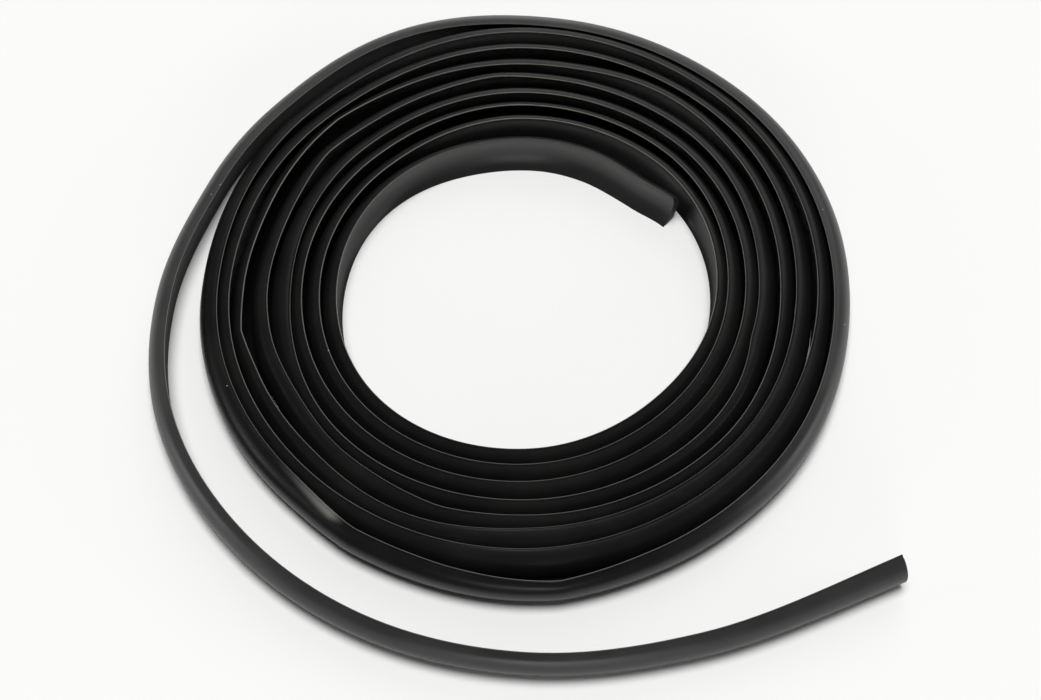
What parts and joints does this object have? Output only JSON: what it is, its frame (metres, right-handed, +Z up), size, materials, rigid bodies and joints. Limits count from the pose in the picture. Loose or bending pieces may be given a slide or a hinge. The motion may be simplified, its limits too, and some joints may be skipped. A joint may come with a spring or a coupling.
{
  "type": "window filler strip",
  "caption": "Black rubber window filler strip with a C-shaped section, wound on edge into a loose flat coil, its outer end left free as a tail.",
  "frame": {"origin": "the middle of the whole strip's box in plan, on the floor that it lies on", "axes": "+Z up and along the coil's bore; +X to the right and +Y away from the viewer of the picture"},
  "size_m": [0.1546, 0.1654, 0.0088],
  "materials": {
    "black_rubber": "matte"
  },
  "bodies": {
    "root": {"filler_strip": "black_rubber"}
  },
  "joints": []
}
